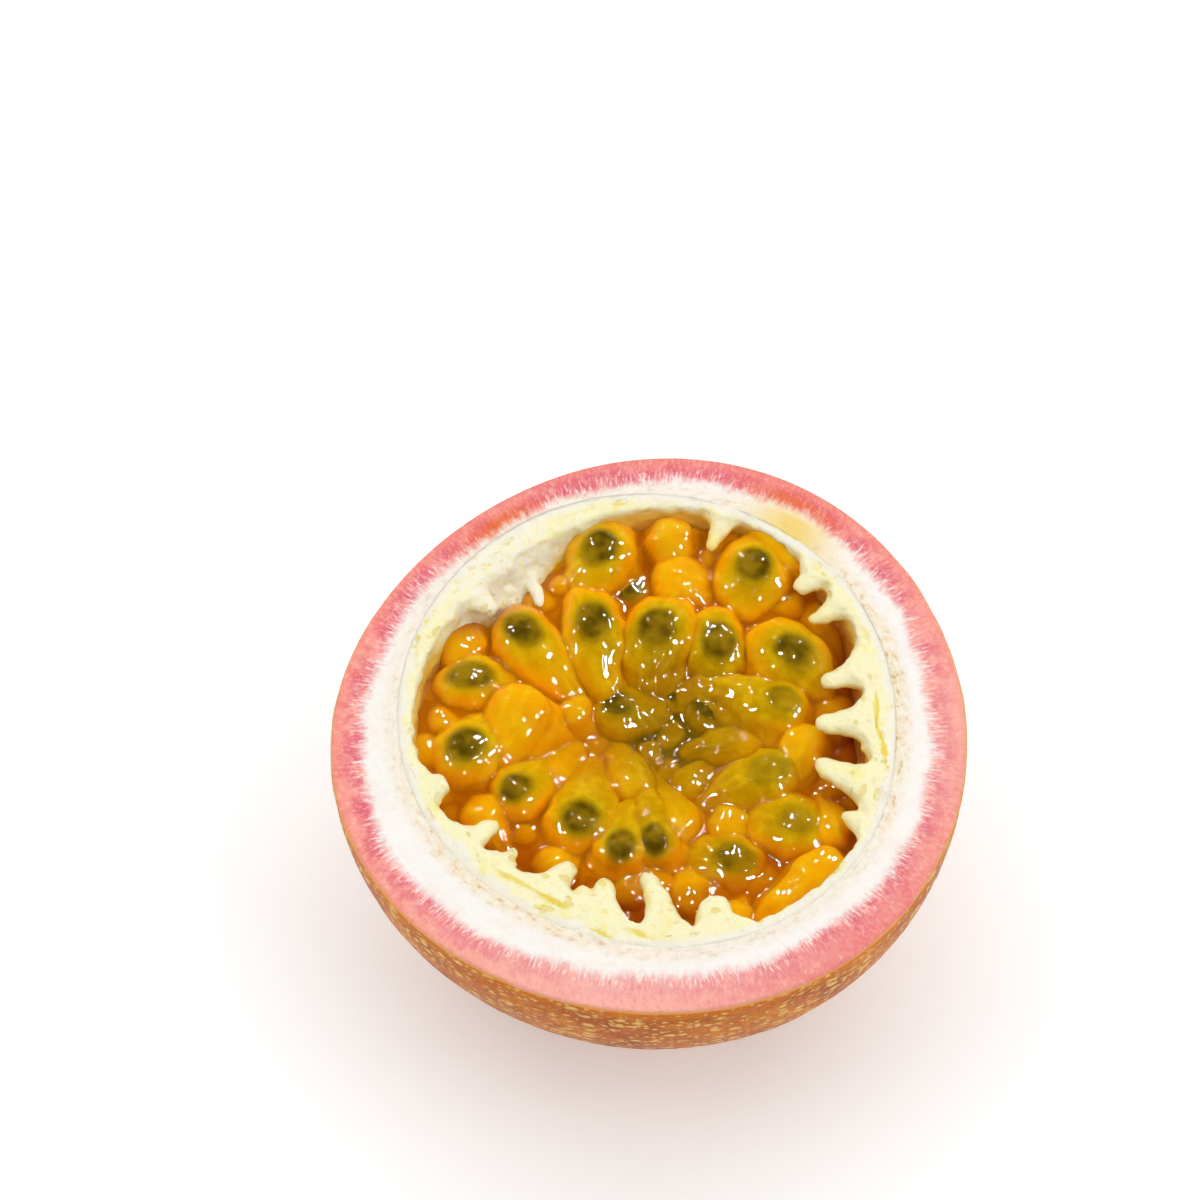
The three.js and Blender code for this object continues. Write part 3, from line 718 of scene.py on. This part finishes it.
# %% The sacs
SACS = (
    (-7.0, 25.8, 0.6, -112, 10.5, 8.2, 1.0, 5.4, 4.8), (-16.1, 14.5, 1.5, -44, 14.0, 7.4, 2.5, 5.6, 4.4),
    (-7.6, 16.0, 1.5, -78, 13.5, 7.2, 3.0, 5.4, 4.4), (0.2, 15.1, 1.5, -116, 9.6, 8.6, 0.8, 5.4, 4.8),
    (-3.2, 22.2, 4.6, 66, 7.5, 6.0, 0.5, 4.2, 3.6), (11.9, 23.7, 0.6, -107, 10.5, 8.6, 1.5, 5.0, 4.6),
    (2.8, 23.2, 2.4, -17, 9.5, 7.0, 1.5, 0, 0), (7.7, 14.0, 2.2, -84, 9.0, 7.0, 2.0, 5.2, 4.4),
    (16.8, 12.0, 1.0, -45, 11.0, 8.6, 1.2, 5.6, 4.6), (-22.3, 8.2, 2.0, 10, 10.5, 7.0, 2.0, 6.0, 4.0),
    (-16.2, 4.0, 0.8, -106, 11.5, 7.2, 1.5, 0, 0), (-22.4, -1.8, 1.4, 54, 12.5, 8.2, 1.5, 5.6, 4.8),
    (-9.7, 5.6, 5.0, 90, 5.5, 4.4, 0.5, 0, 0), (-16.2, -6.4, 3.0, 51, 14.0, 7.0, 3.0, 4.6, 3.8),
    (-8.4, -10.5, 2.5, 85, 16.0, 8.2, 4.5, 5.0, 4.8), (-3.6, -14.1, 2.6, 84, 11.5, 5.8, 2.5, 4.6, 3.6),
    (0.4, -12.8, 3.5, 98, 13.5, 5.8, 2.5, 4.6, 3.4), (15.6, 5.7, 2.0, 157, 15.0, 6.4, 2.0, 4.4, 3.4),
    (14.0, -3.0, 3.4, -157, 13.0, 7.0, 2.5, 5.6, 4.0), (17.2, -10.2, 3.0, 140, 12.0, 8.4, 2.0, 4.8, 4.2),
    (10.1, -14.6, 4.4, 163, 11.5, 7.4, 1.5, 5.4, 4.0), (20.6, -15.8, 2.4, -136, 14.0, 5.0, 0.5, 0, 0),
    (9.5, -23.2, 3.0, 61, 7.0, 5.0, 1.0, 0, 0), (6.7, 7.2, 6.5, -18, 8.5, 5.6, 0.5, 4.2, 3.6),
    (11.0, 2.2, 5.6, -179, 10.5, 5.6, 2.0, 0, 0), (-4.2, 6.6, 5.8, 23, 12.5, 7.4, 2.0, 4.4, 3.4),
    (0.4, 4.0, 10.5, 154, 9.0, 6.0, 0.5, 0, 0), (2.3, 10.2, 8.0, 41, 7.5, 6.0, 0.5, 4.2, 3.4),
    (-2.4, -3.6, 5.8, 108, 11.0, 5.6, 2.5, 0, 0), (2.7, -9.4, 5.0, 110, 12.5, 5.6, 3.0, 0, 0),
    (-11.4, -16.0, 4.0, 36, 6.5, 5.2, 0.5, 0, 0), (18.0, 1.4, 3.0, -98, 8.5, 5.0, 1.0, 0, 0),
    (5.2, -2.6, 7.6, 41, 7.0, 5.4, 0.5, 0, 0), (8.9, -9.2, 5.4, -13, 7.0, 5.2, 0.5, 0, 0),
    (1.6, 28.0, 1.2, -81, 6.5, 5.4, 2.0, 0, 0), (14.6, 27.4, 0.5, -38, 7.5, 5.0, 0.5, 0, 0),
    (20.0, 18.6, 4.6, -60, 9.0, 6.0, 0.5, 0, 0), (-12.3, -2.8, 5.0, 64, 11.0, 5.6, 3.0, 0, 0),
    (-24.0, 12.8, 2.2, 60, 8.0, 5.4, 1.0, 0, 0), (21.6, -11.0, 3.2, 108, 9.0, 5.2, 1.0, 0, 0),
    (21.6, 6.0, 4.6, -100, 8.5, 5.6, 0.5, 0, 0), (-20.0, -9.6, 3.6, -60, 8.5, 5.4, 0.5, 0, 0),
    (4.8, -19.6, 5.4, 90, 8.5, 5.6, 0.5, 0, 0),
)
HEADS = {
    0: 1.5, 1: 0.8, 2: 2.4, 3: 2.4, 5: 2.4, 7: 2.6, 8: 2.2,
    9: 0.8, 11: 0.6, 18: 0.8, 19: 0.8, 34: 1.0, 35: 1.5,
}
TAPER, FULLNESS, PLUMP, THICK, SEED_THICK = 0.32, 0.8, 1.08, 0.7, 2.4
JUICE_DROP, JUICE_SPREAD = 1.9, 4.2
POCKETS, POCKET_WIDTH = ((-112, 40, 2.6), (12, 28, 2.6), (135, 16, 4.5)), 2.6


def lie_of(sac):
    x, y, deep, heading, length, width, fall = sac[:7]
    pitch = math.asin(min(0.9, fall / (length - width / 2)))
    turn = Matrix.Rotation(math.radians(heading), 4, "Z") @ Matrix.Rotation(pitch, 4, "Y")
    thick = width * THICK * PLUMP
    return Matrix.Translation((x, y, CUT - deep - thick / 2)) @ turn, thick


def pocket_depth(x, y):
    angle = np.arctan2(y, x)
    from_wall = np.maximum(0, hollow_radius(angle) - np.hypot(x, y))
    open_here = sum(amount * hump(angle, middle, spread) for middle, spread, amount in POCKETS)
    return open_here * np.exp(-from_wall / POCKET_WIDTH)


def juice_depth(x, y):
    total = depths = 0
    for sac_x, sac_y, top, heading, length, width, fall in (sac[:7] for sac in SACS):
        tail = length - width * 0.8
        for share, extra in ((0, 0), (1, fall)):
            dx = x - sac_x - share * tail * math.cos(math.radians(heading))
            dy = y - sac_y - share * tail * math.sin(math.radians(heading))
            weight = np.exp(-(dx * dx + dy * dy) / (2 * JUICE_SPREAD ** 2))
            total = total + weight
            depths = depths + weight * (top + extra)
    return depths / total + JUICE_DROP + pocket_depth(x, y)


print(len(SACS), "sacs,", sum(1 for sac in SACS if sac[7]), "with a seed that shows")

# %% [markdown]
# ## Reading the sacs at any point
# Only the tops of the sacs can be seen, so the pulp is a surface with one height at each place. For any
# x and y this works out how high each egg stands there. The highest egg owns the point, and a soft
# maximum of all of them is the wet surface, with small fillets where two meet. The same reading later
# paints the colours, so shape and colour always agree. Small sacs drawn at random then fill the gaps:
# one is kept where the juice stands well above the large sacs and no other small one is near.

# %% Height and ownership
BLEND, MENISCUS = 0.20, 0.26
NOTHING, NO_SEED = -60.0, 9.0
GAP_DEPTH, GAP_SPACING = 1.3, 3.0


def read_sacs(x, y, rows):
    top, second = np.full(len(x), NOTHING), np.full(len(x), NOTHING)
    pile = np.zeros(len(x))
    facts = {name: np.full(len(x), NO_SEED) for name in ("edge", "along", "side", "seed", "number")}
    for number, row in enumerate(rows):
        sac_x, sac_y, deep, heading, length, width, fall, seed_length, seed_width = row
        c, s = math.cos(math.radians(heading)), math.sin(math.radians(heading))
        a, b = (x - sac_x) * c + (y - sac_y) * s, (y - sac_y) * c - (x - sac_x) * s
        reach, thick = length - width / 2, width * THICK * PLUMP
        head = width / 2 + HEADS.get(number, 0)
        t = np.where(a > 0, (np.clip(a, 0, None) / reach) ** (1 / FULLNESS), a / head)
        k = np.clip(t, 0, 1)
        narrow = 1 - TAPER * k * k * (3 - 2 * k)
        edge = np.hypot(t, b / (narrow * width * PLUMP / 2))
        dome = np.where(edge < 1, np.sqrt(np.clip(1 - edge ** 2, 0, None)), 2.2 * (1 - edge))
        z = narrow * thick / 2 * dome - deep - thick / 2 - fall * np.clip(a, 0, None) / reach
        pile += np.exp(np.clip(z / BLEND, -400, 20))
        closer = z > top
        second = np.where(closer, top, np.maximum(second, z))
        top = np.where(closer, z, top)
        seed = np.full(len(x), NO_SEED)
        if seed_length:
            seed = np.hypot(a / (seed_length / 2), b / (seed_width / 2))
        for name, value in (("edge", edge), ("along", k), ("side", b), ("seed", seed), ("number", number)):
            facts[name] = np.where(closer, value, facts[name])
    facts.update(top=top, second=second, pile=pile)
    return facts


chance = np.random.default_rng(12)
TRIES = 5000
around, out = chance.uniform(-math.pi, math.pi, TRIES), np.sqrt(chance.uniform(0, 1, TRIES))
try_x = (hollow_radius(around) - 1.0) * out * np.cos(around)
try_y = (hollow_radius(around) - 1.0) * out * np.sin(around)
try_depth = juice_depth(try_x, try_y)
room = -try_depth - read_sacs(try_x, try_y, SACS)["top"]
FILLERS = []
for x, y, deep, spare in zip(try_x, try_y, try_depth, room):
    if spare < GAP_DEPTH or any(math.hypot(x - row[0], y - row[1]) < GAP_SPACING for row in FILLERS):
        continue
    width = chance.uniform(2.8, 4.4)
    heading = math.degrees(math.atan2(-y, -x)) + chance.uniform(-70, 70)
    top = deep - chance.uniform(0.2, 0.9)
    FILLERS.append((x, y, top, heading, width * chance.uniform(1.2, 1.8), width, 0.5, 0, 0))
ALL_SACS = (*SACS, *FILLERS)
print(len(FILLERS), "small sacs between them")

# %% [markdown]
# ## Pulp
# A unit bowl again, closed on top by many close rows. Each point of its top takes the height of sacs
# and juice there. Before the sacs are read the place is pushed about by noise, which turns the plain
# eggs into uneven bags. Then come creases where two sacs press together, wrinkles that run along the
# tails, and deeper folds in the middle, where the sacs have been cut open and have collapsed. Last, a
# second soft maximum lays the level juice round them, so that it climbs each sac in a small curve, as a
# wet edge does.

# %% Make the pulp
PULP_DEEP, PULP_OUT, HIGHEST = 27.0, 0.15, 1.1
dish = spun(arc(1, 90, 16, 12) + [(s, 1) for s in np.linspace(1, 0, 148)], 580)
unit = points_of(dish)
angle, r = np.arctan2(unit[:, 1], unit[:, 0]), np.hypot(unit[:, 0], unit[:, 1])
surface = unit[:, 2] > 0
wall = hollow_radius(angle) + PULP_OUT - np.where(surface, 0, shelf(angle, -PULP_DEEP * unit[:, 2]))
x, y = wall * r * np.cos(angle), wall * r * np.sin(angle)


def ribbons_of(facts):
    return np.stack((facts["along"] * 2.2, facts["side"] * 0.9, facts["number"] * 7.3), 1)


def pulp_height(x, y):
    flat = np.stack((x, y, np.zeros(len(x))), 1)
    push_x = 0.65 * rolling(flat, 4.6, 101) + 0.35 * rolling(flat, 2.1, 103)
    push_y = 0.65 * rolling(flat, 4.6, 107) + 0.35 * rolling(flat, 2.1, 109)
    facts = read_sacs(x + push_x, y + push_y, ALL_SACS)
    juice = -juice_depth(x, y) + 0.12 * rolling(flat, 3.5, 113)
    crease = np.exp(-(((facts["top"] - facts["second"]) / 0.32) ** 2)) * (facts["top"] > juice)
    collapsed = np.clip(1.3 - np.hypot(x - 1.5, y - 3.5) / 8, 0, 1)
    wrinkle = np.abs(rolling(ribbons_of(facts), 1.0, 0)) - 0.2
    body = BLEND * np.log(facts["pile"] + 1e-30)
    body += -0.12 * crease - (0.10 + 0.42 * facts["along"]) * wrinkle
    body += 0.20 * rolling(flat, 1.8, 61) + 0.07 * rolling(flat, 0.9, 67)
    body += collapsed * (0.75 * rolling(flat, 2.8, 71) - 0.5 * np.abs(rolling(flat, 1.7, 73)) + 0.1)
    height = MENISCUS * np.logaddexp(body / MENISCUS, juice / MENISCUS)
    return CUT + height, facts, crease, juice


height, facts, crease, juice = pulp_height(x, y)
height = np.where(surface, np.minimum(height, CUT + HIGHEST), CUT + PULP_DEEP * unit[:, 2])
points = np.stack((x, y, height), 1)
pulp_mesh = moved(dish, points)

# %% [markdown]
# ## Colour of the juice
# Seven painted numbers steer the juice finish, one for each colour named there. They follow the sac's
# seed, edge and tail, how deep the point lies and how far it is from the middle. The hollows are found
# by comparing each point with the average of its surroundings, because shade and juice gather there.

# %% Paint the juice
def paint_juice(mesh, x, y, under, edge, crease, in_juice):
    still = read_sacs(x, y, ALL_SACS)
    from_middle = np.hypot(x - 4, y - 1)
    dim = 0.45 * np.clip((x - 8) / 4, 0, 1) * np.clip((9 - y) / 4, 0, 1)
    near = np.clip((1.3 - still["seed"]) / 0.66, 0, 1)
    near = near * near * (3 - 2 * near)
    ring = np.clip((2.1 - still["seed"]) / 0.8, 0, 1)
    plain = (still["seed"] >= NO_SEED) * np.clip((from_middle - 6) / 5, 0, 1)
    olive = np.clip(0.85 * np.clip(1.6 - from_middle / 17, 0, 1) * (1 - 0.75 * plain) + 0.35 * ring, 0, 1)
    # Painted light: near the edge of a sac, above all at its head, the orange is painted brighter for light
    # shining through the thin skin.
    rim = np.clip((edge - 0.55) / 0.4, 0, 1)
    outside = np.clip((from_middle - 7) / 12, 0, 1)
    head = np.clip(1 - still["along"] / 0.3, 0, 1)
    orange = outside * (0.15 + 0.3 * plain + 0.35 * rim + 0.75 * rim * head) + 0.1 * rim - 0.3 * ring
    # The small sacs in the gaps get painted shade, because they lie low between the large ones.
    small = 0.3 * (still["number"] >= len(SACS))
    core = np.clip(1.4 - np.hypot(x - 2.5, y - 3.5) / 6.5, 0, 1)
    streak = rolling(ribbons_of(still) * (1.0, 1.1, 1.0), 1.0, 127)
    paint(mesh, "streak", 0.28 * np.clip(streak * 2.0 - 0.1, 0, 1) * (1 - in_juice))
    paint(mesh, "seed_near", near * (1 - dim) * np.clip(1 - 0.7 * in_juice, 0, 1))
    paint(mesh, "olive", olive)
    paint(mesh, "orange_skin_and_edge_glow", np.clip(orange, 0, 1))
    # Pool colour: the juice standing between the sacs, plus painted shade in creases, hollows and on the
    # small sacs.
    paint(mesh, "pool_and_shade", np.clip(0.65 * crease + 0.7 * in_juice + small, 0, 1) * (1 - 0.6 * core))
    # Painted shade: deep pockets and points well below the cut by the wall are painted darker amber, along
    # with the amber of deep juice.
    deep = np.maximum(pocket_depth(x, y) / 1.8 - 0.1, 0.10 * np.clip(under - 4, 0, None))
    by_wall = 0.3 * np.clip(under - 3.5, 0, None) * np.clip((np.hypot(x, y) - 17) / 3, 0, 1)
    paint(mesh, "amber", np.clip(np.maximum(deep, by_wall), 0, 1) * (1 - 0.6 * core))
    # The middle is murky in its own colour, and darker in its creases as painted shade and in its juice.
    paint(mesh, "murk_and_shade", np.clip(core * (0.4 + 0.8 * crease + 0.5 * in_juice), 0, 0.95))


def hollowness(mesh, points, steps):
    """How far each point lies under the average of its surroundings, in millimetres."""
    edges = np.empty(len(mesh.edges) * 2, np.int32)
    mesh.edges.foreach_get("vertices", edges)
    a, b = edges.reshape(-1, 2).T
    count = np.bincount(np.concatenate((a, b)), minlength=len(points)).astype(float)
    even = points[:, 2].copy()
    for _ in range(steps):
        total = np.bincount(a, even[b], len(points)) + np.bincount(b, even[a], len(points))
        even = total / np.maximum(count, 1)
    return even - points[:, 2]


in_juice = np.clip((juice - facts["top"]) / 0.5, 0, 1)
# Hollowness sets painted shade: the pool and murk colours darken the pulp's hollows and creases with it.
hollow = np.clip(hollowness(pulp_mesh, points, 24) / 0.6 - 0.1, 0, 1)
paint_juice(pulp_mesh, x, y, CUT - height, facts["edge"], np.maximum(hollow, 0.35 * crease), in_juice)
moved(pulp_mesh, points + np.array(OFFSET))
placed("pulp_sacs", pulp_mesh, juice_finish, "pulp", "pulp")

# %% [markdown]
# ## Seeds
# A seed is a flat oval a little wider at one end, and lies just under the top of its sac. It takes the
# same wet finish and the same painted colours as the juice round it, and its top follows the skin of
# the sac, so it shows as a soft dark shape under the skin instead of a bead stuck on.

# %% Make the seeds
SEED_SINK, SEED_SHOWS = 0.95, 0.03
for number, sac in enumerate((sac for sac in SACS if sac[7]), 1):
    lie, thick = lie_of(sac)
    bm = bmesh.new()
    bmesh.ops.create_uvsphere(bm, u_segments=40, v_segments=28, radius=1)
    for vert in bm.verts:
        vert.co.y *= 1 - 0.08 * vert.co.x
    size = Matrix.Diagonal((sac[7] / 2, sac[8] / 2, SEED_THICK / 2, 1))
    sunk = Matrix.Translation((0, 0, thick / 2 - SEED_SINK))
    bmesh.ops.transform(bm, matrix=lie @ sunk @ size, verts=bm.verts)
    seed_mesh = as_mesh(bm, "seed")
    points = points_of(seed_mesh)
    skin, facts, _, _ = pulp_height(points[:, 0], points[:, 1])
    points[:, 2] = np.minimum(points[:, 2], skin + SEED_SHOWS)
    nothing = np.zeros(len(points))
    paint_juice(seed_mesh, points[:, 0], points[:, 1], CUT - points[:, 2], facts["edge"], nothing, nothing)
    moved(seed_mesh, points + np.array(OFFSET))
    placed(f"seed_kernel_{number:02d}", seed_mesh, juice_finish, "seed", f"seed_{number:02d}")

# %% [markdown]
# ## Studio
# The fruit lies on a plain white table. Two soft windows of light and a wide ceiling give the even light
# of a product picture, and a bright room fills the shadows. Large lights would lay a milky veil on the
# wet sacs, so reflections don't see them. They see a few small, very bright panels instead, which light
# nothing themselves and give each sac its crisp glints.

# %% Table and light
bm = bmesh.new()
bmesh.ops.create_grid(bm, x_segments=1, y_segments=1, size=4)
table_mesh = as_mesh(bm, "table")
table_finish, tree, shader = finish_called("table_finish")
shader.inputs["Base Color"].default_value = (0.92, 0.955, 0.97, 1)
shader.inputs["Roughness"].default_value = 0.7
shader.inputs["Specular IOR Level"].default_value = 0.1
shader.inputs["Emission Color"].default_value = (1, 1, 1, 1)
shader.inputs["Emission Strength"].default_value = 0.2
table_mesh.materials.append(table_finish)
table = bpy.data.objects.new("table", table_mesh)
bpy.context.scene.collection.objects.link(table)


def lit_panel(name, towards, distance, size, power):
    light = bpy.data.lights.new(name, "AREA")
    light.shape, light.size, light.energy = "SQUARE", size, power
    lamp = bpy.data.objects.new(name, light)
    lamp.location = face + Vector(towards).normalized() * distance
    lamp.rotation_euler = (face - lamp.location).to_track_quat("-Z", "Y").to_euler()
    bpy.context.scene.collection.objects.link(lamp)
    return lamp


for name, towards, size, power in (
    ("window_left", (-0.88, -0.08, 0.50), 0.7, 2.2), ("window_right", (0.72, -0.30, 0.62), 0.7, 2.8),
    ("ceiling", (0.0, 0.5, 1.0), 2.0, 14.0),
):
    lit_panel(name, towards, 1.1, size, power).visible_glossy = False

GLINTS = (
    (0.72, -0.30, 0.62, 0.15), (-0.80, -0.15, 0.55, 0.12), (0.35, 0.55, 0.75, 0.10),
    (-0.35, 0.60, 0.70, 0.08), (0.15, -0.88, 0.40, 0.07), (0.88, 0.10, 0.36, 0.09),
)
GLINT_POWER = 750
for number, (east, north, up, size) in enumerate(GLINTS):
    power = GLINT_POWER * size * size
    lit_panel(f"glint_{number}", (east, north, up), 1.0, size, power).visible_diffuse = False

world = bpy.data.worlds.new("room")
world.use_nodes = True
world.node_tree.nodes["Background"].inputs[0].default_value = (1.0, 1.0, 1.0, 1)
world.node_tree.nodes["Background"].inputs[1].default_value = 0.32
world.cycles_visibility.glossy = False
bpy.context.scene.world = world
bpy.context.scene.view_settings.view_transform = "Standard"
